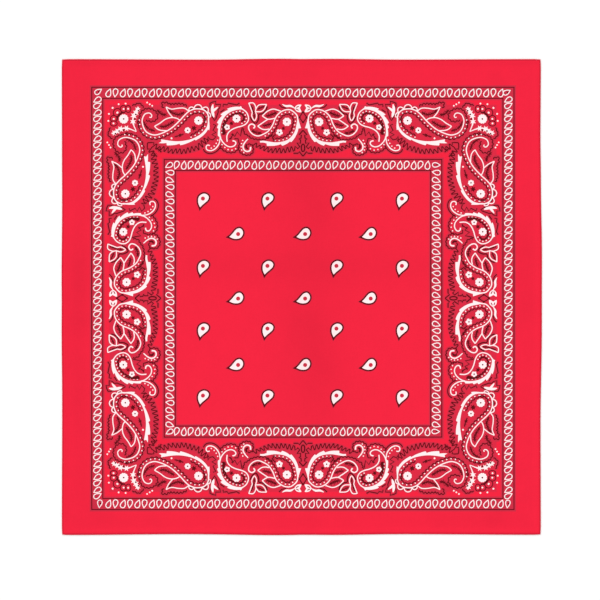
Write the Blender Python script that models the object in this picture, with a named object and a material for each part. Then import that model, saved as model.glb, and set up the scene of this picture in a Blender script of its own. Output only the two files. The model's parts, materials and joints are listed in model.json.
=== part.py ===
"""A square cotton bandana laid out flat: one woven panel whose four edges are rolled into narrow hems.

Metres, +Z up, +X to the wearer's right across the printed face, +Y towards the top edge.
The origin is under the middle of the cloth, on the surface that it lies on.
"""

import math
from collections import namedtuple

import bmesh
import bpy
from mathutils import Vector

MILLIMETRE = 0.001

# Driving sizes
WIDTH = 0.560  # finished, from the left hem to the right hem
DEPTH = 0.556  # finished, from the bottom hem to the top hem
CLOTH = 0.0010  # wall of the panel
HEM_WIDTH = 0.0050  # how far the rolled edge reaches in
HEM_HEIGHT = 0.0016  # three layers of the cloth, rolled and pressed
SEAM_GAP = 0.0003  # between the panel and each hem, and between hems at a corner
MITRE_SETBACK = SEAM_GAP * math.sqrt(0.5)  # from each hem's end back to the corner's diagonal, along the hem
CORNER_CUT = 0.0009  # how far a hem's outer end is drawn in, which blunts the corner

PANEL_CELLS = 28  # squares along each side of the panel
HEM_STATIONS = 28  # steps along each hem
ROUND_STEPS = 4  # steps round a hem's outer edge

CLOTH_RED = (0.905, 0.021, 0.051, 1.0)
CLOTH_ROUGHNESS = 0.85

# The cut wanders a little along each side, because the cloth was folded in quarters and has relaxed.
# A row holds how far along the side the point lies from its middle, and how far out of true it is.
Wander = namedtuple("Wander", "along_mm outward_mm")
SIDE_WANDER = {
    "top": [
        Wander(-275, 0.0),
        Wander(-107, -0.54),
        Wander(-23, 0.48),
        Wander(5, 0.05),
        Wander(33, 0.36),
        Wander(117, -0.53),
        Wander(275, 0.07),
    ],
    "bottom": [
        Wander(-275, 0.5),
        Wander(-135, -0.53),
        Wander(-23, 0.65),
        Wander(5, 0.1),
        Wander(33, 0.43),
        Wander(117, -0.55),
        Wander(275, 0.2),
    ],
    "left": [
        Wander(-275, 0.0),
        Wander(-121, -0.4),
        Wander(-36, 0.29),
        Wander(-8, 0.08),
        Wander(20, 0.33),
        Wander(104, -0.34),
        Wander(275, 0.05),
    ],
    "right": [
        Wander(-275, 0.1),
        Wander(-149, -0.19),
        Wander(-36, 1.36),
        Wander(-8, 1.33),
        Wander(48, 1.5),
        Wander(132, 0.3),
        Wander(188, -0.28),
        Wander(275, 0.2),
    ],
}

# Soft ridges that are left where the cloth was folded in quarters.
Crease = namedtuple("Crease", "across position_mm half_width_mm height_mm")
CREASES = [
    Crease("x", 5, 26, 0.6),
    Crease("y", -8, 22, 0.5),
]


def wander(side, along):
    """How far the cut runs outside its true line, that far along the side, on a smooth curve through the rows."""
    rows = SIDE_WANDER[side]
    place = along / MILLIMETRE
    if place <= rows[0].along_mm:
        return rows[0].outward_mm * MILLIMETRE
    for before, after in zip(rows, rows[1:]):
        if place <= after.along_mm:
            share = (place - before.along_mm) / (after.along_mm - before.along_mm)
            eased = share * share * (3 - 2 * share)
            step = after.outward_mm - before.outward_mm
            return (before.outward_mm + step * eased) * MILLIMETRE
    return rows[-1].outward_mm * MILLIMETRE


def most_outward(side):
    """The furthest that the side wanders out, in metres."""
    return max(row.outward_mm for row in SIDE_WANDER[side]) * MILLIMETRE


# The middle of the wandering outline, which is put over the origin.
MIDDLE = Vector(
    (
        (most_outward("right") - most_outward("left")) / 2,
        (most_outward("top") - most_outward("bottom")) / 2,
        0.0,
    )
)


def on_cloth(across, along, height=0.0):
    """A point of the true rectangle, moved by the wander of the sides that it lies between."""
    share_right = across / WIDTH + 0.5
    share_top = along / DEPTH + 0.5
    moved_x = wander("right", along) * share_right - wander("left", along) * (1 - share_right)
    moved_y = wander("top", across) * share_top - wander("bottom", across) * (1 - share_top)
    return Vector((across + moved_x, along + moved_y, height)) - MIDDLE


def crease_height(across, along):
    """How far the top of the panel stands up at the folds, nothing at the hems."""
    total = 0.0
    for crease in CREASES:
        place = across if crease.across == "x" else along
        steps = (place / MILLIMETRE - crease.position_mm) / crease.half_width_mm
        total += crease.height_mm * MILLIMETRE * math.exp(-steps * steps)
    fade_x = 1 - (2 * abs(across) / WIDTH) ** 6
    fade_y = 1 - (2 * abs(along) / DEPTH) ** 6
    return total * max(0.0, fade_x) * max(0.0, fade_y)


def cloth_material(name):
    material = bpy.data.materials.new(name)
    material.use_nodes = True
    shader = material.node_tree.nodes["Principled BSDF"]
    shader.inputs["Base Color"].default_value = CLOTH_RED
    shader.inputs["Roughness"].default_value = CLOTH_ROUGHNESS
    shader.inputs["Metallic"].default_value = 0.0
    return material


def add_object(name, mesh_builder, collection):
    """A mesh object made from a bmesh, with a cloth material of its own."""
    mesh = bpy.data.meshes.new(name)
    bmesh.ops.recalc_face_normals(mesh_builder, faces=mesh_builder.faces)
    if mesh_builder.calc_volume(signed=True) < 0:
        bmesh.ops.reverse_faces(mesh_builder, faces=mesh_builder.faces)
    mesh_builder.to_mesh(mesh)
    mesh_builder.free()
    mesh.materials.append(cloth_material(name + "_cotton"))
    mesh.shade_smooth()
    mesh.set_sharp_from_angle(angle=math.radians(40))
    made = bpy.data.objects.new(name, mesh)
    collection.objects.link(made)
    return made


def make_panel(collection):
    """The woven square inside the hems: a grid drawn down into a wall, flat underneath, with the folds on top."""
    inset = HEM_WIDTH + SEAM_GAP
    half_x = WIDTH / 2 - inset
    half_y = DEPTH / 2 - inset
    builder = bmesh.new()
    bmesh.ops.create_grid(builder, x_segments=PANEL_CELLS, y_segments=PANEL_CELLS, size=1.0)
    extruded = bmesh.ops.extrude_face_region(builder, geom=list(builder.faces))
    underside = {item for item in extruded["geom"] if isinstance(item, bmesh.types.BMVert)}
    for vertex in builder.verts:
        across = vertex.co.x * half_x
        along = vertex.co.y * half_y
        height = 0.0 if vertex in underside else CLOTH + crease_height(across, along)
        vertex.co = on_cloth(across, along, height)
    return add_object("panel", builder, collection)


def hem_section():
    """The hem's outline seen end on, as (out from the panel, up): flat below, round outside, pressed on top."""
    radius = HEM_HEIGHT / 2
    outline = [(0.0, 0.0), (HEM_WIDTH - radius, 0.0)]
    for step in range(1, ROUND_STEPS):
        turn = math.pi * step / ROUND_STEPS - math.pi / 2
        outline.append((HEM_WIDTH - radius + radius * math.cos(turn), radius + radius * math.sin(turn)))
    outline += [(HEM_WIDTH - radius, HEM_HEIGHT), (0.0, HEM_HEIGHT)]
    return outline


def make_hem(side, collection):
    """The rolled edge along one side: its section drawn along the side, with the ends cut to meet the next hem."""
    upright = side in ("left", "right")
    outward = 1 if side in ("top", "right") else -1
    inner_edge = (WIDTH if upright else DEPTH) / 2 - HEM_WIDTH
    inner_end = (DEPTH if upright else WIDTH) / 2 - HEM_WIDTH
    builder = bmesh.new()
    ring = [builder.verts.new((-1.0, out, up)) for out, up in hem_section()]
    end = builder.faces.new(ring)
    step = Vector((2.0 / HEM_STATIONS, 0.0, 0.0))
    for _ in range(HEM_STATIONS):
        rim = [*end.edges, *end.verts]
        grown = bmesh.ops.extrude_face_region(builder, geom=[end, *rim], use_keep_orig=len(builder.faces) == 1)
        moved = [item for item in grown["geom"] if isinstance(item, bmesh.types.BMVert)]
        bmesh.ops.translate(builder, verts=moved, vec=step)
        end = next(item for item in grown["geom"] if isinstance(item, bmesh.types.BMFace))
    for vertex in builder.verts:
        share, out, up = vertex.co
        blunted = CORNER_CUT * (out / HEM_WIDTH) ** 3
        along = share * (inner_end + out - MITRE_SETBACK - blunted)
        across = outward * (inner_edge + out)
        vertex.co = on_cloth(across, along, up) if upright else on_cloth(along, across, up)
    return add_object("hem_" + side, builder, collection)


def main():
    for old in list(bpy.data.objects):
        bpy.data.objects.remove(old)
    collection = bpy.data.collections.new("bandana")
    bpy.context.scene.collection.children.link(collection)
    cloth = bpy.data.objects.new("cloth", None)
    collection.objects.link(cloth)
    pieces = [make_panel(collection)]
    pieces += [make_hem(side, collection) for side in SIDE_WANDER]
    for piece in pieces:
        piece.parent = cloth


main()
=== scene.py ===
"""A printed cotton bandana laid out flat: the print, the cloth with its hems, the stitches, and the studio."""

import cmath
import json
import math
from collections import namedtuple

import bmesh
import bpy
import numpy as np
from mathutils import Euler, Matrix, Vector
from mathutils.geometry import delaunay_2d_cdt

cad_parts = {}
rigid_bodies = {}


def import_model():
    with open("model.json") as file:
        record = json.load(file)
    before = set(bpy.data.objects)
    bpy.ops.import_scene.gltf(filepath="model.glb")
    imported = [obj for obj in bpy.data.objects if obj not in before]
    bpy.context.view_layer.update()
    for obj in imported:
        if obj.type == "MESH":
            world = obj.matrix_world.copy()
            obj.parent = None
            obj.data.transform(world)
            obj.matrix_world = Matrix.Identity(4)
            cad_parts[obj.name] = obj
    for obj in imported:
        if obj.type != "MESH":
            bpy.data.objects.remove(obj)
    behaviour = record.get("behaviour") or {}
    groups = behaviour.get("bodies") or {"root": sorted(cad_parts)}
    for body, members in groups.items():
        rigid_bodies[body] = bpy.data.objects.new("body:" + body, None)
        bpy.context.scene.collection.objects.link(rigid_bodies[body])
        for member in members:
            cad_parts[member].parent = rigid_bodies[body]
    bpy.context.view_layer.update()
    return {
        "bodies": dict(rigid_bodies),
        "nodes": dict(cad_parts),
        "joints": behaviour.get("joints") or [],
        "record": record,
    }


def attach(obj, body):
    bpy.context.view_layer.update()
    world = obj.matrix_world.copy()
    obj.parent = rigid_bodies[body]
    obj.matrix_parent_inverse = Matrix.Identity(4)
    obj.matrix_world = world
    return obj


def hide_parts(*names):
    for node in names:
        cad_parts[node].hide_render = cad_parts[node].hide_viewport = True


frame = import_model()


# --- The print's two frames of loops ---
# The cloth is dyed red, and a screen print lays white and black on it. Two square frames are printed, each a
# pair of thin black rules with a row of hand-drawn white loops between them. The loops are drops set
# alternately on their point and on their round end, and each leans to the right.

WHITE = "white"
BLACK = "black"
RED = "red"
STAINED = "stained"  # where a little black has tinted the red
DEEP = "deep"  # where more of it has; neither stain shows on white or black

# The whole print is drawn as flat outlines, each covering the ones before it, and is cut into the cloth's own
# face further down. A place is a complex number, across + up * 1j from the print's middle, in squares of the
# drawing.
shapes = []


def lay(ink, outline):
    """Lays one closed outline of an ink over all that is there."""
    shapes.append((ink, outline))


def turned(outline, degrees):
    """The outline turned anticlockwise about the origin."""
    return [point * cmath.rect(1, math.radians(degrees)) for point in outline]


def lengths_along(path):
    """How far along the path each of its points lies."""
    run = [0.0]
    for start, end in zip(path, path[1:]):
        run.append(run[-1] + abs(end - start))
    return run


def between(values, share):
    """The value at a share of the way through evenly spaced ones."""
    place = share * (len(values) - 1)
    k = min(int(place), len(values) - 2)
    return values[k] + (values[k + 1] - values[k]) * (place - k)


def sideways(path):
    """For each point of the path, the unit step to its left."""
    last = len(path) - 1
    ways = [path[min(k + 1, last)] - path[max(k - 1, 0)] for k in range(last + 1)]
    return [1j * way / max(abs(way), 1e-9) for way in ways]


def line(ink, path, *widths):
    """A stroke along the path, as wide as the widths say from its start to its end."""
    widths = widths * 2 if len(widths) == 1 else widths
    run = lengths_along(path)
    halves = [between(widths, length / run[-1]) / 2 for length in run]
    steps = sideways(path)
    left = [point + step * half for point, step, half in zip(path, steps, halves)]
    right = [point - step * half for point, step, half in zip(path, steps, halves)]
    lay(ink, left + right[::-1])


def dot(ink, place, radius, sides=8):
    """A round spot."""
    lay(ink, [place + cmath.rect(radius, 2 * math.pi * k / sides) for k in range(sides)])


def teardrop(length, width, sides, slimness=1.0):
    """A drop about the origin, its point up."""
    widest = max(math.sin(t / 50) * math.sin(t / 100) ** slimness for t in range(1, 157))
    outline = []
    for k in range(sides):
        turn = 2 * math.pi * k / sides
        across = math.sin(turn) * math.sin(turn / 2) ** slimness / widest
        outline.append(complex(-across * width / 2, math.cos(turn) * length / 2))
    return outline


LOOP_LENGTH = 9.3
LOOP_WIDTH = 5.9
LOOP_STROKE = 0.95
LOOP_POINT_WALL = LOOP_STROKE * 1.5  # the white is thicker at the drop's point
HOLE_DROP = 0.35  # how far the hole lies towards the round end
HOLE_LINE = (1.0, 0.6)  # of black inside the hole, at both ends together and at both sides together
RULE = 0.95
RULE_BLEED = 1.5  # how far the black bleeds on each side of a rule
STRAIGHT_PITCH = 13  # of the steps of a long straight line, short enough to follow the cloth's folds

FrameOfLoops = namedtuple(
    "FrameOfLoops",
    "outer_rule inner_rule middle row_ends row_shift row_loops "
    "column_ends column_shift column_loops turn mirrored crowd shift",
)
OUTER_FRAME = FrameOfLoops(211.12, 200.1, 205.48, 196.2, 1.64, 55, 198.4, 0.52, 62, 0, True, 0.0, -0.14-0.12j)
INNER_FRAME = FrameOfLoops(138.8, 127.8, 133.2, 125.3, -0.9, 36, 125.9, -0.3, 36, 180, False, 0.035, 0)


def middle_of(outline):
    """The middle of the upright box round an outline."""
    across = [point.real for point in outline]
    up = [point.imag for point in outline]
    return complex(min(across) + max(across), min(up) + max(up)) / 2


def loop(place, degrees, mirrored=False, size=1.0):
    """One white loop with the black line inside it, turned from lying point up, its middle at the place."""
    hole_length = LOOP_LENGTH - LOOP_STROKE - LOOP_POINT_WALL
    hole_width = LOOP_WIDTH - 2 * LOOP_STROKE
    middle = None
    for ink, length, width, sides, drop in (
        (WHITE, LOOP_LENGTH, LOOP_WIDTH, 13, 0.0),
        (BLACK, hole_length, hole_width, 8, HOLE_DROP),
        (RED, hole_length - HOLE_LINE[0], hole_width - HOLE_LINE[1], 7, HOLE_DROP),
    ):
        outline = turned([(point - drop * 1j) * size for point in teardrop(length, width, sides)], degrees)
        if mirrored:
            outline = [-1j * point.conjugate() for point in outline]
        middle = middle_of(outline) if middle is None else middle
        lay(ink, [place - middle + point for point in outline])


def spaced(ends, count, crowd):
    """Places from end to end, drawn a little closer near the corners."""
    made = []
    for k in range(count):
        share = k / (count - 1)
        made.append(ends * (2 * share - 1 - crowd / math.pi * math.sin(2 * math.pi * share)))
    return made


def paced(path, pitch):
    """Points evenly spaced along the path, as near to that pitch as fits, with the first and last kept."""
    run = lengths_along(path)
    count = max(1, round(run[-1] / pitch))
    made = []
    k = 0
    for step in range(count + 1):
        wanted = run[-1] * step / count
        while k < len(run) - 2 and run[k + 1] < wanted:
            k += 1
        share = (wanted - run[k]) / max(run[k + 1] - run[k], 1e-9)
        made.append(path[k] + (path[k + 1] - path[k]) * min(share, 1.0))
    return made


def square_of_lines(ink, reach, width):
    """Four strokes round the square that reaches that far from the middle."""
    corners = [complex(a, b) * reach for a, b in ((-1, 1), (1, 1), (1, -1), (-1, -1))]
    for start, end in zip(corners, corners[1:] + corners[:1]):
        overlap = (end - start) / abs(end - start) * width / 2
        line(ink, paced([start - overlap, end + overlap], STRAIGHT_PITCH), width)


def frame_of_loops(frame):
    """The two squares of rules, then the loops along the rows and down the columns, and all of it shifted."""
    before = len(shapes)
    square_of_lines(DEEP, (frame.outer_rule + frame.inner_rule) / 2, frame.outer_rule - frame.inner_rule)
    for reach in (frame.outer_rule, frame.inner_rule):
        square_of_lines(DEEP, reach, RULE + 2 * RULE_BLEED)
        square_of_lines(BLACK, reach, RULE)
    for side in (1, -1):
        for k, across in enumerate(spaced(frame.row_ends, frame.row_loops, frame.crowd)):
            loop(complex(across + frame.row_shift, side * frame.middle), (172 if k % 2 else -21) + frame.turn)
        for k, down in enumerate(spaced(-frame.column_ends, frame.column_loops, 0.0)):
            place = complex(side * frame.middle, down + frame.column_shift)
            if frame.mirrored:
                loop(place, 151 if k % 2 else -29, True)
            else:
                loop(place, (-21 if k % 2 else 172) + frame.turn + 90)
    shapes[before:] = [(ink, [point + frame.shift for point in outline]) for ink, outline in shapes[before:]]


frame_of_loops(OUTER_FRAME)
frame_of_loops(INNER_FRAME)
square_of_lines(STAINED, 172, 43)  # the border between them, where the black lies thickest

# The loop in each corner lies its own way and holds a black seed.
CornerLoop = namedtuple("CornerLoop", "place degrees")
CORNER_LOOPS = [
    CornerLoop(-204.9+206.3j, -55),
    CornerLoop(203.8+205.6j, -62),
    CornerLoop(-203.1-205.6j, 172),
    CornerLoop(204.9-205.8j, 172),
    CornerLoop(-133.9+133.4j, 120),
    CornerLoop(133.4+133.4j, -92),
    CornerLoop(-133.4-133.2j, 120),
    CornerLoop(132.8-133.2j, -92),
]
for corner in CORNER_LOOPS:
    loop(corner.place, corner.degrees, size=0.95)
    dot(BLACK, corner.place + 0.6+0.4j, 0.8, 6)


# --- The print's field of drops ---
# Inside the inner frame the cloth is plain red, with rows of white drops. The upright ones and the ones that
# lie over stand on two square lattices, one in the gaps of the other.

DROP_LINE = 1.45  # of black round the white
DROP_BLEED = 0.6
SPOT_RADIUS = 2.1
UPRIGHT_ACROSS = (-100.0, -35.5, 33.5, 99.0)
UPRIGHT_UP = (98.6, 31.3, -31.4, -98.4)
LYING_ACROSS = (-66.0, 1.0, 66.6)
LYING_UP = (64.3, -0.2, -66.6)


def curve(points, pitch=1.2):
    """Points at about that pitch along the smooth curve that runs through the given ones."""
    before = 2 * points[0] - points[1]
    after = 2 * points[-1] - points[-2]
    held = [before, *points, after]
    path = []
    for a, b, c, d in zip(held, held[1:], held[2:], held[3:]):
        steps = max(1, round(abs(c - b) / pitch))
        for step in range(steps):
            t = step / steps
            cubic = (3 * b - a - 3 * c + d) * t**3 + (2 * a - 5 * b + 4 * c - d) * t**2 + (c - a) * t
            path.append(b + cubic / 2)
    path.append(points[-1])
    return path


def beside(path, distance):
    """The path moved to its left by that distance, or to its right by a negative one."""
    return [point + step * distance for point, step in zip(path, sideways(path))]


def field_drop(place, lying):
    """A bent white drop with a black outline, drawn out at its point, and a dark red spot in its round end."""
    edge = curve([
        -2.9-7.6j, -4.3-4.6j, -4.9-1.6j, -4.6+1.6j, -3.1+4.2j, 0.3+6j, 3.6+5.4j, 5.7+3j, 5-0.2j, 2.4-2.8j,
        -0.5-5.2j, -2.9-7.6j,
    ], 1.0)
    outline = [-3.4-11.2j, *beside(edge, DROP_LINE)[1:-1]]
    bled = [-3.5-11.9j, *beside(edge, DROP_LINE + DROP_BLEED)[1:-1]]
    spot = -0.1+1.1j
    if lying:
        edge, outline, bled = ([1j * point.conjugate() for point in path] for path in (edge, outline, bled))
        spot = 1j * spot.conjugate()
    for ink, path in ((DEEP, bled), (BLACK, outline), (WHITE, edge)):
        lay(ink, [place + point for point in path])
    for ink in (RED, DEEP):
        dot(ink, place + spot, SPOT_RADIUS, 10)


for lying, all_across, all_up in ((False, UPRIGHT_ACROSS, UPRIGHT_UP), (True, LYING_ACROSS, LYING_UP)):
    for across in all_across:
        for up in all_up:
            field_drop(complex(across, up), lying)


# --- The print's paisley border ---
# Between the frames runs a border of scrolled paisleys, leaves and flowers. It is drawn once, from the top
# left corner to the middle of the top, and the rest is that drawing mirrored about the square's four axes.
# Up is measured here from the border's own middle line.

BORDER_UP = 170j
frame_shapes = shapes
shapes = []
BLEED = 1.2  # how far the black bleeds on each side of a line
KEYLINE = 1.0  # the deep red that shows on each side of a white stroke
PEN = 1.1  # the usual width of a black line
TOOTH_BLUNT = 0.12  # the share of a tooth's flank that is cut off


def black_line(path, *widths):
    """A black stroke with its bleed, as wide as the pen where no widths are given."""
    widths = widths or (PEN,)
    line(DEEP, path, *[width + 2 * BLEED for width in widths])
    line(BLACK, path, *widths)


def white_line(path, *widths):
    """A white stroke with its thin keyline."""
    line(DEEP, path, *[width + 2 * KEYLINE for width in widths])
    line(WHITE, path, *widths)


def scallops(path, pitch, height):
    """The path with round bumps on its left, or its right if negative, that meet in cusps."""
    length = lengths_along(path)[-1]
    bumps = max(1, round(length / pitch))
    fine = paced(path, length / (bumps * 6))
    heights = [height * abs(math.sin(math.pi * k / 6)) for k in range(len(fine))]
    return [point + step * rise for point, step, rise in zip(fine, sideways(fine), heights)]


def black_scallops(path, pitch, height, width=PEN):
    """A scalloped black line, in one band of its bleed."""
    line(DEEP, beside(path, height / 2), abs(height) + width + 2 * BLEED)
    line(BLACK, scallops(path, pitch, height), width)


def zigzag(path, pitch, heights, lean=0.35):
    """A scrawled line of blunt teeth along the path, each leaning forwards, as high as the heights say on the
    way. Some of them are shorter."""
    places = paced(path, pitch)
    steps = sideways(places)
    corners = []
    for k, (place, step) in enumerate(zip(places, steps)):
        forwards = -1j * step * pitch * lean
        height = between(heights, k / (len(places) - 1))
        corners.append(place - step * height * (0.8 if k % 4 == 2 else 1.0))
        if k < len(places) - 1:
            corners.append(place + step * height * (0.7 if k % 3 == 1 else 1.0) + forwards * 2)
    blunt = []
    for before, corner, after in zip(corners, corners[1:], corners[2:]):
        blunt += [corner + (beyond - corner) * TOOTH_BLUNT for beyond in (before, after)]
    return [corners[0], *blunt, corners[-1]]


def black_zigzag(path, pitch, *heights, width=1.0):
    """A scrawled black line of teeth, in one band of its bleed."""
    line(DEEP, path, *[2 * height for height in heights])
    line(BLACK, zigzag(path, pitch, heights), width)


def beads(path, pitch, radius=0.68):
    """A row of white spots along the path."""
    for place in paced(path, pitch):
        dot(WHITE, place, radius, 7)


def burst(ink, place, radius, tips, turn=0.0, waist=0.42):
    """A small star of pointed strokes."""
    outline = []
    for k in range(2 * tips):
        reach = radius if k % 2 == 0 else radius * waist
        outline.append(place + cmath.rect(reach, math.pi * k / tips + turn))
    lay(ink, outline)


def thorns(path, pitch, radius):
    """A dense scrawl of black crossed strokes along the path, in its bleed."""
    line(DEEP, path, 2 * radius)
    line(BLACK, path, 0.9)
    for k, place in enumerate(paced(path, pitch)):
        burst(BLACK, place, radius * (0.95 + 0.35 * (k % 2)), 4 + k % 2, 0.5 + 1.3 * k, 0.22)


def blossom(place, radius, petals, notch, turn=0.0):
    """A round white flower with its petals parted by notches, and a small black eye."""
    for ink, edge in ((DEEP, radius + KEYLINE), (WHITE, radius)):
        outline = []
        for k in range(petals * 6):
            swell = abs(math.sin(math.pi * k / 6)) ** 0.6
            reach = edge * (1 - notch * (1 - swell))
            outline.append(place + cmath.rect(reach, math.pi * k / 3 / petals + turn))
        lay(ink, outline)
    dot(BLACK, place, 0.85, 6)


def arch(start, end, height):
    """Half an oval on the left of the line from start to end."""
    half = (end - start) / 2
    middle = (start + end) / 2
    rise = 1j * half / abs(half) * height
    turns = [math.pi * (1 - k / 8) for k in range(9)]
    return [middle + half * math.cos(turn) + rise * math.sin(turn) for turn in turns]


Tooth = namedtuple("Tooth", "share width swell hook")


def torn_crescent(path, width, teeth):
    """A white sickle on the left of the path, or on its right if the widths are negative. Its outer edge swells
    to each tooth's width, early or late, reaches ahead by the hook, and is torn back to half of the width."""
    run = lengths_along(path)
    steps = sideways(path)
    outer = []
    start = 0.0
    for tooth in teeth:
        for k in range(len(path)):
            swell = (run[k] / run[-1] - start) / (tooth.share - start)
            if 0 <= swell <= 1:
                wide = width + (tooth.width - width) * swell**tooth.swell
                outer.append(path[k] + steps[k] * wide - 1j * steps[k] * tooth.hook * swell**3)
        start, width = tooth.share, tooth.width / 2
    fork = (path[-1] + outer[-1]) / 2 + 1j * steps[-1] * teeth[-1].hook
    line(DEEP, outer, 2 * KEYLINE)
    line(DEEP, path, 2 * KEYLINE)
    lay(WHITE, [*path, fork, *outer[::-1]])


# The corner: a rosette in a fan of five petals, and a chevron whose arms end in sprigs.
ROSETTE = -179.3+9.4j
for petal, across, up in ((-185.6+15.9j, 3.9, 3.9), (-179.6+19.4j, 3.2, 3.4), (-174.8+19.3j, 2.6, 3.5)):
    for ink, edge in ((BLACK, 0.45), (RED, -0.45)):
        steps = [cmath.rect(1, k * math.pi / 8) for k in range(16)]
        lay(ink, [petal + complex(step.real * (across + edge), step.imag * (up + edge)) for step in steps])
for petal in (-185.5+15.8j, -179.4+19.3j, -174.9+19.5j):
    dot(WHITE, petal, 0.95)
fan = [ROSETTE + cmath.rect(6.2, math.radians(degrees)) for degrees in range(75, 142, 9)]
black_line(fan, 0.4, 1.5, 1.7)
for bead in (-177.4+24.7j, -184.4+24.1j, -190.3+20.5j):
    dot(WHITE, bead, 0.9)
blossom(ROSETTE, 4.7, 12, 0.14)
stem = curve([-169.8+5.4j, -170.2+8.9j, -169.2+12.4j, -167.2+15.6j, -165.4+18.9j, -164.6+21.2j])
white_line([-166.7-3.2j, -169+2.2j, -169.8+5.6j], 0.7, 1.0, 1.3)
white_line(stem, 1.2, 1.35, 1.3, 1.1)
for share, reach, turn in ((0.04, 3.4, 0.5), (0.40, 3.7, 0.3), (0.64, 3.5, 0.4), (0.86, 3.2, 0.4)):
    burst(WHITE, stem[round(share * (len(stem) - 1))], reach, 6, turn)
for seed in (-168.1+9.3j, -167.3+13.9j, -164.6+17.6j):
    dot(BLACK, seed, 1.0, 5)
black_scallops(curve([-170.7+22.4j, -167.5+23.2j, -164.2+24.6j, -161.6+22.8j, -159.8+20.4j]), 3.0, 0.9)
for bead in (-155.9+25.7j, -153.3+24j, -150.8+22.5j):
    dot(WHITE, bead, 0.85)

# The large paisley: a hook that runs on as one long S over the head, and a torn sickle that closes it below.
large_line = curve([
    -153.6+11.2j, -152.2+10.7j, -151.2+12.2j, -151.9+14j, -153.8+15.3j, -157+14.8j, -159.3+12.7j, -160.9+8j,
    -160.2+3j, -158-2j, -154.4-5.1j, -149-6.7j, -144-5.9j, -137-3.1j, -130.5+1j, -123+8j, -118.5+13j,
    -114+17j, -109.5+19j, -105+19.5j, -99.5+18.5j, -96+15.5j, -94.5+11.5j, -94.5+7j,
])
large_sickle = curve([
    -95.3+10j, -95.2+6j, -96+2j, -98.2-1.7j, -101.7-5.3j, -106-8.2j, -111.3-10.7j, -118-12.3j, -125-13j,
    -132-12.6j, -138.5-11.6j, -142-11j,
])
under_large_line = beside(large_line, -2.8)[17:]
in_large_sickle = beside(large_sickle, -1.9)[3:-26]
black_scallops(beside(under_large_line, -0.6), 4.4, -1.3)
black_scallops(beside(in_large_sickle, -1.2), 4.4, -1.3)
around_hook = curve([
    -157+8.6j, -154.3+8j, -151+7.3j, -147.2+9j, -146+12.2j, -147.2+15.4j, -149.8+17.8j, -153.6+19j,
    -157.6+18.6j, -160.6+16.6j, -162.4+13j, -163.3+7.5j, -163.3+2j,
])
black_scallops(around_hook, 3.4, -1.2)
thorns(curve([-159+6j, -157+2j, -153.5-1j, -149-2.5j]), 2.2, 2.3)
beads(under_large_line, 4.4)
beads(in_large_sickle, 4.4)
for start, end, height in (
    (-114+17.5j, -109+19.5j, 2.8),
    (-109+19.5j, -101+19.5j, 4.2),
    (-101+19j, -95.5+15.5j, 4.3),
    (-95.5+15.5j, -93.5+11j, 1.9),
):
    lay(BLACK, arch(start * 0.8 + end * 0.2, start * 0.2 + end * 0.8, height * 0.55))
    white_line(arch(start, end, height), 1.0)
white_line(large_line, 1.0, 1.1, 1.1, 1.1, 1.25)
large_teeth = [
    Tooth(0.17, 4.4, 2.5, 2.2),
    Tooth(0.42, 2.8, 0.7, 0.8),
    Tooth(0.69, 4.3, 1.0, 0.2),
    Tooth(0.90, 5.3, 0.7, 0.8),
    Tooth(1.00, 4.2, 0.8, 1.6),
]
torn_crescent(large_sickle, 1.2, large_teeth)
upper_leaf = [
    curve([-114+17j, -118.5+20j, -124.5+20.1j, -131.5+19.2j, -137+21.3j]),
    curve([-137+21.3j, -134.5+16j, -130.5+11j]),
]
lower_leaf = [
    curve([-123+8j, -126.5+10j, -132+10.7j, -137.7+9j, -143.1+5.1j, -148.5+2j]),
    curve([-148.5+2j, -146-0.5j, -142.5-2j, -136-2.5j]),
]
thorns(curve([-133.5+18j, -131+15.5j, -128+14.5j, -124.5+13.5j, -119.5+15.5j]), 1.9, 2.5)
thorns(curve([-142.5+2j, -139+1.5j, -134.5+3.5j, -129.5+6.5j]), 1.9, 2.4)
for edge in (*upper_leaf, *lower_leaf):
    white_line(edge, 1.0)
over_large = curve([
    -138.8+20.6j, -140.4+24.4j, -136.5+24.7j, -133+23.2j, -127+23.5j, -121.5+23.5j, -116.5+21.5j,
])
black_scallops(over_large, 3.3, 1.6)
thorns(curve([-145.3+17.6j, -142.8+15.4j, -140.3+13.6j, -137.5+13.6j]), 2.2, 2.7)
black_line([-97.9+12.5j, -97.5+8.5j, -98.6+5j])
blossom(-104.5+7.7j, 4.35, 10, 0.14)
blossom(-115.4-2j, 3.1, 7, 0.22)
burst(BLACK, -109.1+0.1j, 3.1, 6, 0.3, 0.5)
thorns([-128-8.5j, -120-6j], 2.2, 1.5)
burst(BLACK, -123-7j, 2.3, 6, 0.1, 0.45)
dot(WHITE, -131.5-10j, 0.95)
under_large = curve([
    -150-16.5j, -144.5-19.5j, -139.5-20.5j, -132-22.5j, -122-23j, -113-21.5j, -106-19.2j, -100.7-15.3j,
    -97-10.2j,
])
black_line([-155.5-14.5j, -151.5-14.2j, -149-14.5j, under_large[0] + 0.5])
thorns([-146-20j, -142-23.6j], 2.4, 2.0)
black_zigzag(under_large, 4.3, 3.4, 3.4, 3.4, 3.8, 4.6)

# A bud with three lobes in its own black outline.
bud = curve([-90+24j, -90.8+19.5j, -90.2+15j, -89+11j])
black_line([
    -90.5+11j, -91.5+15j, -91.2+17.5j, -93+22j, -93+25j, -90.5+26.2j, -87.2+27j, -87.4+23.8j, -82.3+23.8j,
    -83.4+20.4j, -85.1+18.7j, -84.8+16j, -85.9+13.2j, -87.1+9.6j, -88.4+7.6j, -90.5+11j,
])
line(WHITE, bud, 0.8, 2.7, 2.6, 2.9, 1.0)
line(WHITE, [-90+17.2j, -87.4+19.4j, -84.9+21.3j], 2.5, 2.2, 0.6)

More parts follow.
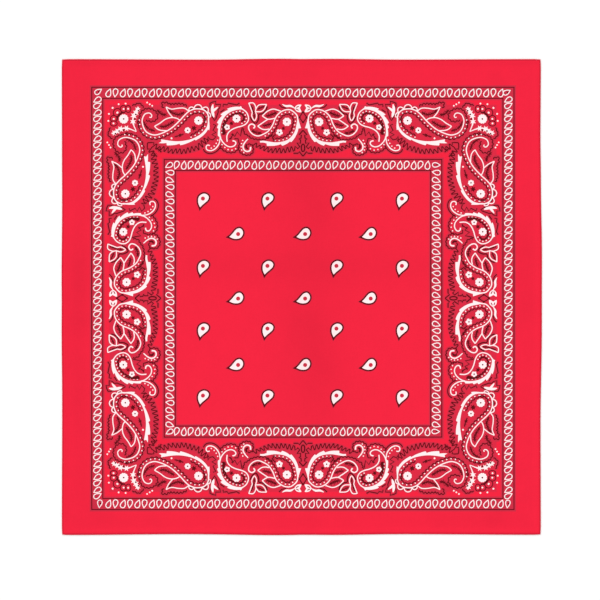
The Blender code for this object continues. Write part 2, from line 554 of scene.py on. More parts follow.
# The small paisley stands on its tail, with its sickle on the outside of its back.
small_line = curve([
    -61+19.5j, -57+16.5j, -54.8+12.2j, -54.7+8j, -57.2+4.3j, -61.3+2.2j, -66.7+0.7j, -71.3-1.4j, -74.7-4.5j,
    -76.2-8.3j, -75.9-13.4j,
])
small_sickle = curve([
    -60+18.8j, -64.5+18.8j, -69+17.8j, -73.2+16j, -77.2+12.9j, -79.7+9.5j, -81.4+5.8j, -82.5+1.5j, -82.9-3j,
    -82.6-7j, -81.9-10.6j,
])
inside_small = [*beside(small_sickle, 1.8)[::-1][5:-2], *beside(small_line, -2.4)[4:20]]
black_scallops(beside(inside_small, -1.2), 3.5, -1.2, 1.6)
beads(inside_small, 3.6)
small_tail = curve([
    -82.8-8j, -82-11j, -79.5-14.7j, -75.9-17.7j, -72-18.6j, -68.6-17.3j, -67.1-15j, -68.2-13j, -70.5-12.5j,
])
small_branch = curve([
    -83-10j, -83.8-14.8j, -86.6-19.3j, -90-21.8j, -93.3-22.4j, -96.2-21.3j, -96.9-18.7j, -95.6-16.8j,
    -93.3-17.2j,
])
under_tail = curve([-83-18j, -79.5-21.3j, -74.6-23.5j, -69.6-23.4j, -66.3-21.6j, -65.4-19j])
black_scallops(under_tail, 3.5, -1.1)
black_line(beside(small_branch, 2.9)[4:20])
beads(curve([-81-16.4j, -76-20.8j, -71.2-21.9j, -67.4-20.5j]), 3.6)
beads(curve([-85.3-11.9j, -87.9-16.9j, -91.7-19.8j]), 3.2)
white_line(small_tail, 1.2, 1.1, 1.1, 1.3)
white_line(small_branch, 0.9, 1.2, 1.1, 1.1)
white_line(small_line, 1.1)
small_teeth = [
    Tooth(0.065, -4.8, 2.0, -0.3),
    Tooth(0.29, -4.3, 0.9, 2.2),
    Tooth(0.46, -4.6, 0.8, 2.0),
    Tooth(0.66, -4.4, 0.9, 0.6),
    Tooth(0.77, -3.6, 0.8, 0.3),
    Tooth(0.92, -2.6, 0.8, 0.3),
    Tooth(1.00, -1.3, 1.0, 0.0),
]
black_line(curve([-78.4+8.5j, -79.6+4j, -80-1j, -79.4-6.6j]), 0.8, 1.6, 2.0, 2.6)
torn_crescent(small_sickle, -0.8, small_teeth)
blossom(-66.5+9.7j, 4.1, 8, 0.2)
blossom(-75.9+1.1j, 2.9, 5, 0.25)
burst(BLACK, -71.6+4.9j, 2.6, 6, 0.2, 0.45)
burst(BLACK, -78.4-4.2j, 2.2, 5, 0.2, 0.45)
black_line([-82.8+16j, -78.6+18.8j])
black_line([-80+21.4j, -79.7+23.9j, -75.9+23.4j, -74.7+25.1j, -66.3+23.4j, -63.4+25.2j])
beside_sickle = [-90+3.9j, -87.3+3.2j, -90-2.2j, -87-4.1j, -91.2-6.4j, -87-8.6j, -90.2-11.6j]
black_line([*beside_sickle, -93.4-10.8j, -94.8-7.8j, -95.4-14j])
black_line([-71.4-5.5j, -68.2-8.1j, -65.9-3.6j, -62.5-7.8j, -61.3-1.3j, -60.5+0.9j])
black_line([-74.3-10.8j, -72-10.4j, -71.3-8.1j])
thorns([-72.6-10.4j, -70-6.4j], 4.0, 1.8)
black_line([-68.6-10.4j, -65.1-10.4j, -64-14.6j, -63-15.6j])

# A curl beside the tail, white with a row of beads outside, in the same scalloped black line.
side_curl = curve([-55-10.5j, -58.3-14.3j, -60-18j, -59-21.5j, -56-23.2j, -52.9-22j, -52.4-18.6j])
around_curl = curve([
    -63.2-16j, -63.4-22j, -59.4-25.6j, -54.4-26.2j, -51-24j, -50.4-20j, -51.5-17j, -55.4-16.6j,
])
black_scallops(around_curl, 3.3, -1.1)
black_line(curve([-56.6-15.8j, -56.8-19.4j, -54.6-20.4j]), 1.2, 2.2, 1.3)
beads(curve([-60.3-12.2j, -61.7-16.6j, -61.5-21.3j, -59.2-24.2j]), 3.2)
white_line(side_curl, 0.9, 1.35, 1.35, 1.55)

# A sprig of three outlined leaves, each scrawled with black.
leaves_of_sprig = [
    [-54.3+25.2j, -49.6+25.2j, -47.2+20.8j, -47.6+16.6j],
    [-54.3+25.2j, -52.4+20.4j, -50.7+15.8j],
    [-50.7+15.8j, -51.2+12j, -48.5+7.6j, -46.4+12j, -47.5+16.6j],
    [-47.4+19j, -44+23.3j, -36.5+23.9j],
    [-36.5+23.9j, -38.6+19.4j, -41.8+16.8j, -47.6+16.6j],
]
shadow_of_sprig = curve([
    -35.8+21.8j, -37.4+17.4j, -40.8+14.6j, -44.2+13.8j, -44.4+9.5j, -47+5j, -50.4+7j, -53+11.5j,
])
black_line(shadow_of_sprig, 1.3)
for scrawl in ([-51.4+22.4j, -49.6+16.5j], [-45+19.4j, -39.8+21.6j], [-49.1+15j, -48.5+10.4j]):
    thorns(scrawl, 2.0, 1.9)
for edge in leaves_of_sprig:
    white_line(curve(edge), 1.0)

# The medium paisley leans the other way. Two leaves stand on its back, and its sickle closes it below.
medium_line = curve([
    -49.5-0.1j, -48.1+2.2j, -51+4.3j, -54.1+2.6j, -54.2-0.9j, -51.6-4.8j, -47.9-7.1j, -44.1-7.6j, -39.7-5.9j,
    -34.8-2.9j, -30.5+3.1j, -27.9+9.6j, -25.6+13.3j, -21.8+16.6j, -17.4+18.4j, -12.7+18.4j, -8.9+16j,
    -6+12.7j, -5.2+8j, -5+5j,
])
medium_sickle = curve([
    -5.6+9j, -6.7+2.6j, -8.1-2.9j, -11.4-8.1j, -15.6-11.6j, -21.3-13.5j, -27.8-14.1j, -33.5-13.4j,
    -39.3-12.4j, -43.1-12.7j,
])
inside_medium = [*beside(medium_line, -2.4)[27:], *beside(medium_sickle, -1.7)[4:-13]]
black_scallops(beside(inside_medium, -1.4), 4.0, -1.2)
beads(inside_medium, 4.0)
under_hook = curve([-59-0.1j, -58.2-4.5j, -54.8-6.6j, -51.4-9.2j, -46-10.5j, -41-10.7j, -36.8-10.1j, -31-6j])
black_scallops(under_hook, 3.6, -1.1)
thorns(curve([-50.5-2.6j, -46.5-4.6j, -42.5-4.8j]), 2.0, 2.6)
medium_leaves = [
    curve([-22.4+17.2j, -29.7+19.2j, -35.8+16.9j, -40.8+12.3j]),
    curve([-40.8+12.3j, -35+9.1j, -28.2+10j]),
    curve([-35+9.1j, -40+5.8j, -45.3+2.1j]),
    curve([-45.3+2.1j, -41.2-0.7j, -37.3-1.3j, -33.9-0.6j]),
]
thorns(curve([-36+12.4j, -32+13.4j, -27.6+15.4j]), 1.9, 2.6)
thorns(curve([-39.6+2.8j, -36+3.2j, -32.4+4.6j]), 1.9, 2.4)
for edge in medium_leaves:
    white_line(edge, 1.05)
white_line(medium_line, 1.35, 1.1, 1.1, 1.1, 1.1, 1.25)
medium_teeth = [
    Tooth(0.15, 5.2, 1.3, 0.4),
    Tooth(0.42, 4.0, 1.8, 0.5),
    Tooth(0.60, 4.2, 0.6, 0.4),
    Tooth(0.84, 4.6, 0.9, 0.7),
    Tooth(1.00, 1.6, 1.0, 0.0),
]
torn_crescent(medium_sickle, 1.2, medium_teeth)
blossom(-16.1+6.4j, 4.3, 8, 0.18)
blossom(-23.6-4.1j, 3.4, 5, 0.32, 0.3)
burst(BLACK, -19.6-0.1j, 2.3, 6, 0.4, 0.45)
thorns([-28-6.4j, -30.8-9.2j, -28.8-12j], 2.4, 2.0)
under_medium = curve([-49.8-15.4j, -44.4-17.8j, -38-20.4j, -30-22.2j, -21-22.2j, -13-21.2j, -10-20.6j])
black_zigzag(under_medium, 4.2, 2.6, 3.4, 3.4)

# The middle of each side: a leaf and a bud over a lozenge and a small tree.
white_line(curve([-20.8+23.9j, -16.9+22.2j, -12.5+22.3j, -8.4+20.1j]), 0.6, 2.15, 2.05, 0.6)
black_line([-24+23.8j, -21.3+21.1j, -16.6+20j])
for bud_edge in (
    [-8.8+20.1j, -6+23.2j, -1.7+23.5j, -3.3+20.4j],
    [-8.8+19.9j, -6+16.6j, -1.6+16.2j, -3.3+20.4j],
):
    lay(WHITE, curve(bud_edge))
for slit in ([-6.8+20.9j, -4.2+21.9j], [-7+19.3j, -4.4+17.9j]):
    line(RED, slit, 1.0, 1.7, 1.0)
    line(BLACK, slit, 0.6, 0.9, 0.6)
black_line([16.4j, -3.7+10.8j, 5.6j])
for corner in (16j, -3.5+10.8j, 6j):
    dot(BLACK, corner, 1.2, 6)
half_tree = [
    -2j, -3.9-6.6j, -1.6-7j, -2.1-10j, -4.1-10.8j, -2.5-11.6j, -2.5-15j, -6-14.6j, -3.3-18.5j, -5.2-20.4j,
    -7.9-18.1j, -8.6-22.7j,
]
black_line(half_tree, 1.3)
black_line([-9.6-25j, -4.8-25j, -3.7-23.4j, -28j])
black_line(arch(-23.4j, -15.8j, 1.7), 1.3)


# --- The cloth ---
# One square of plain-woven cotton, dyed red and printed on its face. Its edges are turned twice to the back
# and pressed flat, so they stand a little higher than the single cloth between them. It lies on the surface
# with soft ridges where it was folded in quarters, and stands for the panel and the four hems.

WIDTH = 0.560
DEPTH = 0.556
FACE_HEIGHT = 0.0010  # top of the single cloth above the surface
HEM_WIDTH = 0.0050
HEM_HEIGHT = 0.0016
FOLD_RADIUS = HEM_HEIGHT / 2  # of the hem's round outer edge
WALL = 0.0004  # from the printed face to the back
CELLS = 68  # squares of the plain grid along each side
MILLIMETRE = 0.001
SQUARE = 1.1693 * MILLIMETRE  # one square of the drawing
PRINT_MIDDLE = Vector((1.48, -1.60)) * MILLIMETRE  # the print sits a little off the cloth's middle
PRINT_REACH = 0.2500  # from the cloth's middle to just outside the print
CORNER_BLUNT = 0.0004  # how far each corner is drawn in, both ways
CORNER_SHARPNESS = 120  # the higher, the nearer to the corner that stays

# The border is one eighth drawn, and seven more by mirrors.
drawing = frame_shapes
for ink, outline in shapes:
    outline = [point + BORDER_UP for point in outline]
    for across, up in ((1, 1), (-1, 1), (1, -1), (-1, -1)):
        upright = [complex(point.real * across, point.imag * up) for point in outline]
        drawing.append((ink, upright))
        drawing.append((ink, [complex(point.imag, point.real) for point in upright]))

INKS = (RED, STAINED, DEEP, BLACK, WHITE)
SAME_PLACE = 1e-4  # places nearer to each other than this, in squares of the drawing, are cut as one


def inks_at(places):
    """The number of the ink that shows at each of the places. It is the last one laid there, and red shows the
    deepest of its stains."""
    order = np.argsort(places.real)
    sorted_across = places.real[order]
    shown = np.zeros(len(places), dtype=int)
    stains = {ink: np.zeros(len(places), dtype=bool) for ink in (STAINED, DEEP)}
    for ink, outline in drawing:
        starts = np.array(outline)
        ends = np.roll(starts, -1)
        first, last = np.searchsorted(sorted_across, (starts.real.min(), starts.real.max()))
        near = order[first:last]
        near = near[(places.imag[near] > starts.imag.min()) & (places.imag[near] < starts.imag.max())]
        spots = places[near][:, None]
        left_of = ((ends - starts).conj() * (spots - starts)).imag
        rising = (starts.imag <= spots.imag) & (spots.imag < ends.imag) & (left_of > 0)
        falling = (ends.imag <= spots.imag) & (spots.imag < starts.imag) & (left_of < 0)
        inside = near[rising.sum(axis=1) != falling.sum(axis=1)]
        if ink in stains:
            stains[ink][inside] = True
        else:
            shown[inside] = INKS.index(ink)
    plain = shown == INKS.index(RED)
    for ink, stained in stains.items():
        shown[plain & stained] = INKS.index(ink)
    return shown


def cut_up(points, edges):
    """The points and triangles of the flat drawing cut along these edges, with the ink of each triangle."""
    points, _, faces, _, _, _ = delaunay_2d_cdt(points, edges, [], 0, SAME_PLACE, False)
    places = np.array([complex(*point) for point in points])
    return points, faces, inks_at(places[np.array(faces)].mean(axis=1))


# The outlines are cut into each other. Then only the drawing's own edge and the lines where two inks meet are
# kept, and the face is cut again along them and on a plain grid.
points = []
edges = []
for ink, outline in drawing:
    edges += [(len(points) + k, len(points) + (k + 1) % len(outline)) for k in range(len(outline))]
    points += [Vector((point.real, point.imag)) for point in outline]
points, faces, inks = cut_up(points, edges)
beside_edge = {}
for face, ink in zip(faces, inks):
    for start, end in zip(face, [*face[1:], face[0]]):
        beside_edge.setdefault((min(start, end), max(start, end)), []).append(ink)
borders = [edge for edge, met in beside_edge.items() if len(met) == 1 or met[0] != met[1]]
kept = {place: k for k, place in enumerate(sorted({place for edge in borders for place in edge}))}
points = [points[place] for place in kept]
edges = [(kept[start], kept[end]) for start, end in borders]

RING_INSETS = (0.0, 0.0010, 0.0019, 0.0026, 0.0040, 0.0060, 0.0086)  # of the grid's lines along the hem
half_width = WIDTH / 2 - FOLD_RADIUS
half_depth = DEPTH / 2 - FOLD_RADIUS
shares = [2 * k / CELLS - 1 for k in range(CELLS)]
grid = []
for inset in RING_INSETS:
    ring = [(share, 1) for share in shares] + [(1, -share) for share in shares]
    ring += [(-share, -1) for share in shares] + [(-1, share) for share in shares]
    start = len(points) + len(grid)
    edges += [(start + k, start + (k + 1) % len(ring)) for k in range(len(ring))]
    grid += [Vector((across * (half_width - inset), along * (half_depth - inset))) for across, along in ring]
for across in shares[2:-1]:
    grid += [Vector((across * half_width, along * half_depth)) for along in shares[2:-1]]
points += [(place - PRINT_MIDDLE) / SQUARE for place in grid]
points, faces, inks = cut_up(points, edges)

# The face is a flat sheet first. Each triangle holds its ink, and each corner its place on the bake's map,
# where the reds, the black, the white and the back have a square each.
RED_SQUARE, BACK_SQUARE = Vector((0, 0)), Vector((1, 1))
PRINT_SQUARES = {WHITE: Vector((1, 0)), BLACK: Vector((0, 1))}
MAP_REACH = 0.289 / 0.98  # from the middle of a square to its edge, in metres of cloth with its hems unrolled
BACK = len(INKS)  # the number of the unprinted side

cloth_mesh = bpy.data.meshes.new("cloth")
cloth_mesh.from_pydata([(place * SQUARE + PRINT_MIDDLE).to_3d() for place in points], [], faces)
builder = bmesh.new()
builder.from_mesh(cloth_mesh)
ink_of = builder.faces.layers.float.new("ink")
painted_tone_of = builder.verts.layers.float.new("tone")
bake_map = builder.loops.layers.uv.new("OFBake")


def put_on_map(face, square, unrolled_mm=None):
    """Gives the face its place on the bake's map: where it lies, or beyond the edge with the hem unrolled."""
    for loop_of_face in face.loops:
        place = loop_of_face.vert.co.xy
        if unrolled_mm is not None:
            place = place / max(abs(place.x) / half_width, abs(place.y) / half_depth)
            outwards = Vector((place.x / half_width, place.y / half_depth))
            place += outwards * unrolled_mm[loop_of_face.vert] * MILLIMETRE
        loop_of_face[bake_map].uv = (place / MAP_REACH / 2 + Vector((0.5, 0.5)) + square) / 2


for face, ink in zip(builder.faces, inks):
    face[ink_of] = ink
    if face.normal.z < 0:
        face.normal_flip()
    put_on_map(face, PRINT_SQUARES.get(INKS[ink], RED_SQUARE))
printed_face = list(builder.verts)

# The hem: the outer line is drawn round the fold, back underneath, and up to the back of the single cloth.
HemStep = namedtuple("HemStep", "out_mm up_mm unrolled_mm underneath")
HEM_SECTION = [
    HemStep(0.57, 1.37, 0.63, False),
    HemStep(0.80, 0.80, 1.26, False),
    HemStep(0.57, 0.23, 1.88, False),
    HemStep(0.00, 0.00, 2.51, False),
    HemStep(-3.90, 0.00, 6.41, True),
    HemStep(-4.25, 0.12, 6.78, True),
    HemStep(-4.30, 0.45, 7.11, True),
]
HEM_PAINTED_TONE = 0.78  # painted shade: how light the dye is painted round the fold and underneath, where the cloth turns from the light
rim = [edge for edge in builder.edges if edge.is_boundary]
unrolled_mm = {vertex: 0.0 for edge in rim for vertex in edge.verts}
for vertex in unrolled_mm:
    vertex.co.z = HEM_HEIGHT
now_out = 0.0
for step in HEM_SECTION:
    grown = bmesh.ops.extrude_edge_only(builder, edges=rim)["geom"]
    rim = [item for item in grown if isinstance(item, bmesh.types.BMEdge) and item.is_boundary]
    outer_line = [item for item in grown if isinstance(item, bmesh.types.BMVert)]
    next_out = step.out_mm * MILLIMETRE
    grow = [(half + next_out) / (half + now_out) for half in (half_width, half_depth)]
    bmesh.ops.scale(builder, verts=outer_line, vec=(*grow, 1.0))
    now_out = next_out
    for vertex in outer_line:
        vertex.co.z = step.up_mm * MILLIMETRE
        # Painted shade round the fold and underneath.
        vertex[painted_tone_of] = HEM_PAINTED_TONE
        unrolled_mm[vertex] = step.unrolled_mm
    for item in grown:
        if isinstance(item, bmesh.types.BMFace):
            item[ink_of] = INKS.index(RED)
            put_on_map(item, BACK_SQUARE if step.underneath else RED_SQUARE, unrolled_mm)

# The back of the single cloth closes the sheet.
back = bmesh.ops.create_grid(builder, x_segments=CELLS, y_segments=CELLS, size=1.0)["verts"]
bmesh.ops.scale(builder, verts=back, vec=(half_width + now_out, half_depth + now_out, 1.0))
back_faces = {face for vertex in back for face in vertex.link_faces}
for face in back_faces:
    face.normal_flip()
    face[ink_of] = BACK
    put_on_map(face, BACK_SQUARE)
edge_of_back = [vertex for vertex in back if vertex.is_boundary]
inside_back = [vertex for vertex in back if not vertex.is_boundary]
for vertex in back:
    vertex[painted_tone_of] = 1.0
for vertex in edge_of_back:
    vertex.co.z = HEM_SECTION[-1].up_mm * MILLIMETRE
bmesh.ops.remove_doubles(builder, verts=[*edge_of_back, *outer_line], dist=1e-5)

# How it lies. A fold is a soft ridge, or a trough if its height is negative, along the line between two
# places. Along some of them the dye is darkened with painted shade, for the shade of the fold.
FoldMark = namedtuple("FoldMark", "start_mm end_mm half_width_mm height_mm deeper")
# The last column is how much painted shade darkens the dye along each fold.
FOLD_MARKS = [FoldMark(*row) for row in (
    (5-300j, 5+300j, 26, 0.6, 0.0),
    (-300-8j, 300-8j, 22, 0.5, 0.0),
    (4+170j, 8-140j, 46, 0.0, 0.050),
    (-150+32j, 158+30j, 28, 0.0, 0.032),
    (-122+36j, 146+34j, 18, -0.2, 0.018),
    (-2+148j, 24+96j, 26, -0.3, 0.040),
    (8-34j, 22-84j, 26, -0.25, 0.045),
    (-118-24j, -52-62j, 26, 0.2, 0.0),
    (82-22j, 142-60j, 24, 0.25, 0.0),
    (96+134j, 152+82j, 24, 0.2, 0.0),
    (-132+140j, -84+102j, 28, 0.2, 0.0),
    (-258+280j, -258-280j, 17, 0.0, 0.038),
    (-262+66j, -264-142j, 11, -0.2, 0.030),
    (-260+40j, -260-28j, 14, 0.0, 0.035),
    (262+280j, 262-280j, 17, 0.0, 0.018),
    (260+80j, 262-24j, 13, -0.2, 0.045),
    (-40+263j, 12+262j, 11, 0.0, 0.040),
    (-30-262j, 10-263j, 11, 0.0, 0.025),
    (232-250j, 222-262j, 9, -0.15, 0.04),
    (160-262j, 236-262j, 14, 0.0, 0.030),
    (-240-248j, -228-262j, 9, -0.15, 0.04),
    (-236-262j, -176-263j, 12, 0.0, 0.022),
    (226+256j, 236+244j, 9, -0.15, 0.04),
)]

RISE_START = HEM_WIDTH + 0.0036  # how far from the edge the face starts to rise to the hem
RISE_WIDTH = 0.0056
EDGE_WIDTH = 0.0026  # of the outermost strip, darkened with painted shade where the cloth turns over
EDGE_BLEND = 0.0007
EDGE_PAINTED_SHADE = 0.23
SLOPE_STEP = 0.0002  # over which the face's slope is measured


def nearness(mark, across, along):
    """1 on the fold's own line, and less and less away from it."""
    way = mark.end_mm - mark.start_mm
    from_start = (across + along * 1j) / MILLIMETRE - mark.start_mm
    share = np.clip((from_start * way.conjugate()).real / abs(way) ** 2, 0.0, 1.0)
    away = abs(from_start - way * share) / mark.half_width_mm
    return np.exp(-away * away)


def face_height(across, along):
    """How far the printed face lies above the surface."""
    inset = np.minimum(WIDTH / 2 - abs(across), DEPTH / 2 - abs(along))
    rise = np.clip((RISE_START - inset) / RISE_WIDTH, 0.0, 1.0)
    rise = rise * rise * (3 - 2 * rise)
    marks = sum(mark.height_mm * MILLIMETRE * nearness(mark, across, along) for mark in FOLD_MARKS)
    fade = np.clip(1 - (2 * across / WIDTH) ** 6, 0, 1) * np.clip(1 - (2 * along / DEPTH) ** 6, 0, 1)
    return FACE_HEIGHT + marks * fade + (HEM_HEIGHT - FACE_HEIGHT) * rise


def painted_shading(across, along):
    """How light the dye is painted: darker with painted shade along some folds, and along the outermost edge,
    where the cloth turns over.
    """
    inset = np.minimum(WIDTH / 2 - abs(across), DEPTH / 2 - abs(along))
    # Painted shade along the outermost strip, where the rounded edge turns away from the light.
    painted_edge_shade = np.clip((EDGE_WIDTH - inset) / EDGE_BLEND, 0.0, 1.0)
    deeper = sum(mark.deeper * nearness(mark, across, along) for mark in FOLD_MARKS)
    return 1.0 - EDGE_PAINTED_SHADE * painted_edge_shade - deeper


def slope(across, along, step_across, step_along):
    """How steeply the face rises at each place on the way of that step."""
    after = face_height(across + step_across, along + step_along)
    before = face_height(across - step_across, along - step_along)
    return (after - before) / (2 * SLOPE_STEP)


def places_of(vertices):
    """The vertices' places across and along."""
    return np.array([vertex.co.xy for vertex in vertices]).T


across, along = places_of(printed_face)
slopes = zip(slope(across, along, SLOPE_STEP, 0.0), slope(across, along, 0.0, SLOPE_STEP))
for vertex, height, tone in zip(printed_face, face_height(across, along), painted_shading(across, along)):
    vertex.co.z = height
    vertex[painted_tone_of] = tone
for vertex, height in zip(inside_back, face_height(*places_of(inside_back))):
    vertex.co.z = height - WALL


def outer_line_of(side):
    """The outermost line of a hem: places along it, and how far out the cloth reaches there."""
    along, out = (1, 0) if side in ("left", "right") else (0, 1)
    places = [vertex.co for vertex in frame["nodes"]["hem_" + side].data.vertices]
    outermost = sorted((place[along], place[out]) for place in places if abs(place.z - FOLD_RADIUS) < 1e-5)
    return np.array(outermost).T


def drawn_out(across, along):
    """The place on the wandering cloth of a place on the true square: only the margins outside the print are
    drawn out, to the hems' own outer lines, and the corners are a little blunt."""
    moved = []
    corner = (4 * abs(across * along) / (WIDTH * DEPTH)) ** CORNER_SHARPNESS
    for place, other, reach, before, after in (
        (across, along, WIDTH / 2, "left", "right"),
        (along, across, DEPTH / 2, "bottom", "top"),
    ):
        side = np.where(place < 0, -1, 1)
        low, high = (np.interp(other, *outer_line_of(name)) for name in (before, after))
        outer = np.where(place < 0, low, high)
        share = np.clip((abs(place) - PRINT_REACH) / (reach - HEM_WIDTH - PRINT_REACH), 0.0, 1.0)
        moved.append(place + (outer - side * reach) * share - side * CORNER_BLUNT * corner)
    return moved


# The cut wanders a little, so the true square is drawn out to it.
everything = list(builder.verts)
for vertex, x, y in zip(everything, *drawn_out(*places_of(everything))):
    vertex.co.x, vertex.co.y = x, y

# Extruding leaves the hem's faces in any order, so they are sorted, and every run gives the same mesh.
builder.verts.index_update()
in_order = sorted(builder.faces, key=lambda face: [vertex.index for vertex in face.verts])
for k, face in enumerate(in_order):
    face.index = k
builder.faces.sort()

builder.normal_update()
builder.to_mesh(cloth_mesh)
builder.free()
cloth_mesh.shade_smooth()
normals = [Vector(normal.vector) for normal in cloth_mesh.vertex_normals]
for k, (rise_across, rise_along) in enumerate(slopes):
    normals[k] = Vector((-rise_across, -rise_along, 1.0)).normalized()
cloth_mesh.normals_split_custom_set_from_vertices(normals)


def placed(name, data):
    """An object of that name in the scene."""
    made = bpy.data.objects.new(name, data)
    bpy.context.scene.collection.objects.link(made)
    return made


cloth = placed("cloth", cloth_mesh)


class Wire:
    """A node's output. Python's operators on it add Math nodes, so that a pattern is written as a sum."""

    def __init__(self, finish, socket):
        self.finish = finish
        self.socket = socket

    def maths(self, operation, *others):
        return self.finish.node("ShaderNodeMath", {"operation": operation}, dict(enumerate([self, *others])))

    def __add__(self, other):
        return self.maths("ADD", other)

    __radd__ = __add__

    def __sub__(self, other):
        return self.maths("SUBTRACT", other)

    def __rsub__(self, other):
        return (self * -1).maths("ADD", other)

    def __mul__(self, other):
        return self.maths("MULTIPLY", other)

    __rmul__ = __mul__

    def __gt__(self, other):
        return self.maths("GREATER_THAN", other)


class Finish:
    """A material that is put together from nodes, round its own shader."""

    def __init__(self, name):
        self.material = bpy.data.materials.new(name)
        self.material.use_nodes = True
        self.shader = self.material.node_tree.nodes["Principled BSDF"]

    def fill(self, node, inputs):
        for key, value in inputs.items():
            if isinstance(value, Wire):
                self.material.node_tree.links.new(value.socket, node.inputs[key])
            else:
                node.inputs[key].default_value = value

    def node(self, kind, settings=None, inputs=None, output=0):
        made = self.material.node_tree.nodes.new(kind)
        for key, value in (settings or {}).items():
            setattr(made, key, value)
        self.fill(made, inputs or {})
        return Wire(self, made.outputs[output])

    def mix(self, factor, first, second):
        """The first colour where the factor is 0, and the second where it is 1."""
        return self.node("ShaderNodeMix", {"data_type": "RGBA"}, {0: factor, 6: first, 7: second}, 2)

    def attribute(self, name):
        return self.node("ShaderNodeAttribute", {"attribute_name": name}, output=2)

    def shade(self, **inputs):
        self.fill(self.shader, {key.replace("_", " "): value for key, value in inputs.items()})


DYED_RED = (0.772, 0.0135, 0.0415, 1.0)
STAINED_RED = (0.62, 0.0180, 0.0465, 1.0)
DEEP_RED = (0.530, 0.0222, 0.0498, 1.0)
PRINTED_BLACK = (0.098, 0.0011, 0.0038, 1.0)
UNDYED_WHITE = (0.96, 0.752, 0.758, 1.0)
PALE_BACK = (0.70, 0.045, 0.075, 1.0)
THREAD_PITCH = 0.00045

cotton = Finish("cotton")
place = cotton.node("ShaderNodeTexCoord", output=3)
ink = cotton.attribute("ink")
# The vertices' painted shade: darker along some folds, at the turned edge and round the hem.
tone = cotton.attribute("tone")
across_and_along = cotton.node("ShaderNodeSeparateXYZ", inputs={0: place})
along_of = Wire(cotton, across_and_along.socket.node.outputs[1])
per_thread = 2 * math.pi / THREAD_PITCH


def yarns(scale, detail=1.0):
    """Uneven yarns: noise drawn out along one way of the weave."""
    stretched = cotton.node("ShaderNodeVectorMath", {"operation": "MULTIPLY"}, {0: place, 1: scale})
    return cotton.node("ShaderNodeTexNoise", inputs={"Vector": stretched, "Scale": 1.0, "Detail": detail})


warp_yarns = yarns((1400.0, 60.0, 60.0))
weft_yarns = yarns((60.0, 1400.0, 60.0))
weave = (across_and_along * per_thread).maths("SINE") * (along_of * per_thread).maths("SINE")
cloudy = cotton.node("ShaderNodeTexNoise", inputs={"Vector": place, "Scale": 45.0, "Detail": 3.0})
mottled = cotton.node("ShaderNodeTexNoise", inputs={"Vector": place, "Scale": 420.0, "Detail": 2.0})

colour = DYED_RED
for number, next_colour in enumerate((STAINED_RED, DEEP_RED, PRINTED_BLACK, UNDYED_WHITE, PALE_BACK)):
    colour = cotton.mix(ink > number + 0.5, colour, next_colour)
# The colour is darkened by that painted shade, and varies at random with the mottling and the uneven yarns.
shade = tone + (cloudy - 0.5) * 0.06 + (mottled - 0.5) * 0.06 + (warp_yarns + weft_yarns - 1.0) * 0.05
colour = cotton.node("ShaderNodeVectorMath", {"operation": "SCALE"}, {0: colour, "Scale": shade})
bump = cotton.node(
    "ShaderNodeBump",
    inputs={
        "Height": weave * 0.5 + (warp_yarns + weft_yarns) * 0.5 + mottled * 0.5,
        "Strength": 0.25,
        "Distance": 0.00012,
    },
)
cotton.shade(Base_Color=colour, Roughness=0.80 + mottled * 0.12, Normal=bump, Specular_IOR_Level=0.1)
cloth_mesh.materials.append(cotton.material)

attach(cloth, "root")
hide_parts("panel", "hem_top", "hem_bottom", "hem_left", "hem_right")


# --- The hem stitches ---
# Each hem is held by one line of straight lockstitch in cotton thread dyed to match the cloth. The thread
# shows as short rounded stitches, sunk into the cloth, on the face and underneath.

STITCH_LENGTH = 0.0021
STITCH_PITCH = 0.0027
THREAD_WIDTH = 0.00038
THREAD_HEIGHT = 0.00015
STITCH_INSET = 0.0040  # from the cloth's edge to the line of stitches
STITCHES_END = 0.0030  # the line stops this far from the cloth's edge at each corner
# Both reds are painted lighter than the cloth's, painted light that makes up for the shade on the stitches'
# steep rounded sides; the noise mixes them as uneven plies.
THREAD_REDS_PAINTED_LIGHTER = ((0.80, 0.0143, 0.043, 1.0), (0.90, 0.0165, 0.048, 1.0))

seam = bmesh.new()
for upright, side in ((False, 1), (False, -1), (True, 1), (True, -1)):
    length, out = (DEPTH / 2, WIDTH / 2) if upright else (WIDTH / 2, DEPTH / 2)
    run = length - STITCHES_END
    count = round(2 * run / STITCH_PITCH)
    for k in range(count + 1):
        down_the_line = run * (2 * k / count - 1)
        aside = side * (out - STITCH_INSET)
        spot = (aside, down_the_line) if upright else (down_the_line, aside)
        x, y = drawn_out(*spot)
        for height in (face_height(*spot), 0.0):
            bmesh.ops.create_icosphere(
                seam,
                subdivisions=1,
                radius=1.0,
                matrix=Matrix.LocRotScale(
                    Vector((x, y, height)),
                    Euler((0.0, 0.0, math.pi / 2 if upright else 0.0)),
                    Vector((STITCH_LENGTH / 2, THREAD_WIDTH / 2, THREAD_HEIGHT / 2)),
                ),
            )
stitch_mesh = bpy.data.meshes.new("hem_stitches")
seam.to_mesh(stitch_mesh)
seam.free()
stitch_mesh.shade_smooth()
stitches = placed("hem_stitches", stitch_mesh)

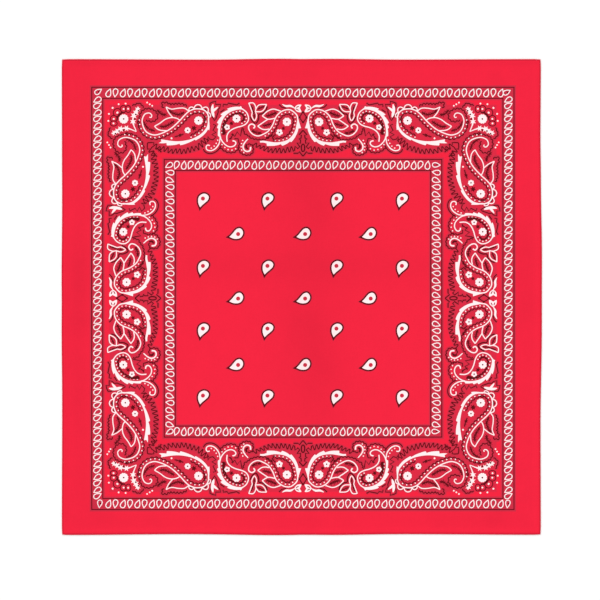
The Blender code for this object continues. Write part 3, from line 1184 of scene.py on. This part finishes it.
thread = Finish("thread")
place = thread.node("ShaderNodeTexCoord", output=3)
plies = thread.node("ShaderNodeTexNoise", inputs={"Vector": place, "Scale": 1800.0, "Detail": 1.0})
thread.shade(
    Base_Color=thread.mix(plies, *THREAD_REDS_PAINTED_LIGHTER),
    Roughness=0.70 + plies * 0.1,
    Normal=thread.node("ShaderNodeBump", inputs={"Height": plies, "Strength": 0.3, "Distance": 0.0001}),
    Specular_IOR_Level=0.1,
)
stitch_mesh.materials.append(thread.material)

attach(stitches, "root")


# --- The studio ---
# A plain white floor, one broad soft sun from the upper left and a pale room all round. The camera looks
# straight down on the cloth.

FLOOR_REACH = 40.0  # so far that it is white to the horizon
FLOOR_DROP = 0.0002  # below the cloth

floor_builder = bmesh.new()
bmesh.ops.create_grid(floor_builder, x_segments=2, y_segments=2, size=FLOOR_REACH)
bmesh.ops.translate(floor_builder, verts=floor_builder.verts, vec=(0.0, 0.0, -FLOOR_DROP))
floor_mesh = bpy.data.meshes.new("floor")
floor_builder.to_mesh(floor_mesh)
floor_builder.free()
floor = placed("floor", floor_mesh)
paper = Finish("floor_paper")
paper.shade(Base_Color=(0.86, 0.86, 0.86, 1.0), Roughness=0.9)
floor_mesh.materials.append(paper.material)

ROOM_LIGHT = 0.85
SUN_STRENGTH = 1.47
SUN_BREADTH = math.radians(35)
SUN_TURN = Euler((math.radians(-32), math.radians(-24), 0.0))

sun_data = bpy.data.lights.new("soft_sun", "SUN")
sun_data.energy = SUN_STRENGTH
sun_data.angle = SUN_BREADTH
placed("soft_sun", sun_data).rotation_euler = SUN_TURN
room = bpy.data.worlds.new("room")
room.use_nodes = True
background = room.node_tree.nodes["Background"]
background.inputs["Color"].default_value = (1.0, 1.0, 1.0, 1.0)
background.inputs["Strength"].default_value = ROOM_LIGHT
bpy.context.scene.world = room
bpy.context.scene.view_settings.view_transform = "Standard"

VIEW_SIZE = 0.7016  # of the square that the camera takes in
LENS_MM = 100
SENSOR_MM = 36
CAMERA_OVER = (-0.00205, -0.00362)  # the place on the cloth that it looks at

camera_data = bpy.data.cameras.new("camera")
camera_data.lens = LENS_MM
camera_data.sensor_width = SENSOR_MM
camera = placed("camera", camera_data)
camera.location = (*CAMERA_OVER, FACE_HEIGHT + VIEW_SIZE / SENSOR_MM * LENS_MM)
bpy.context.scene.camera = camera
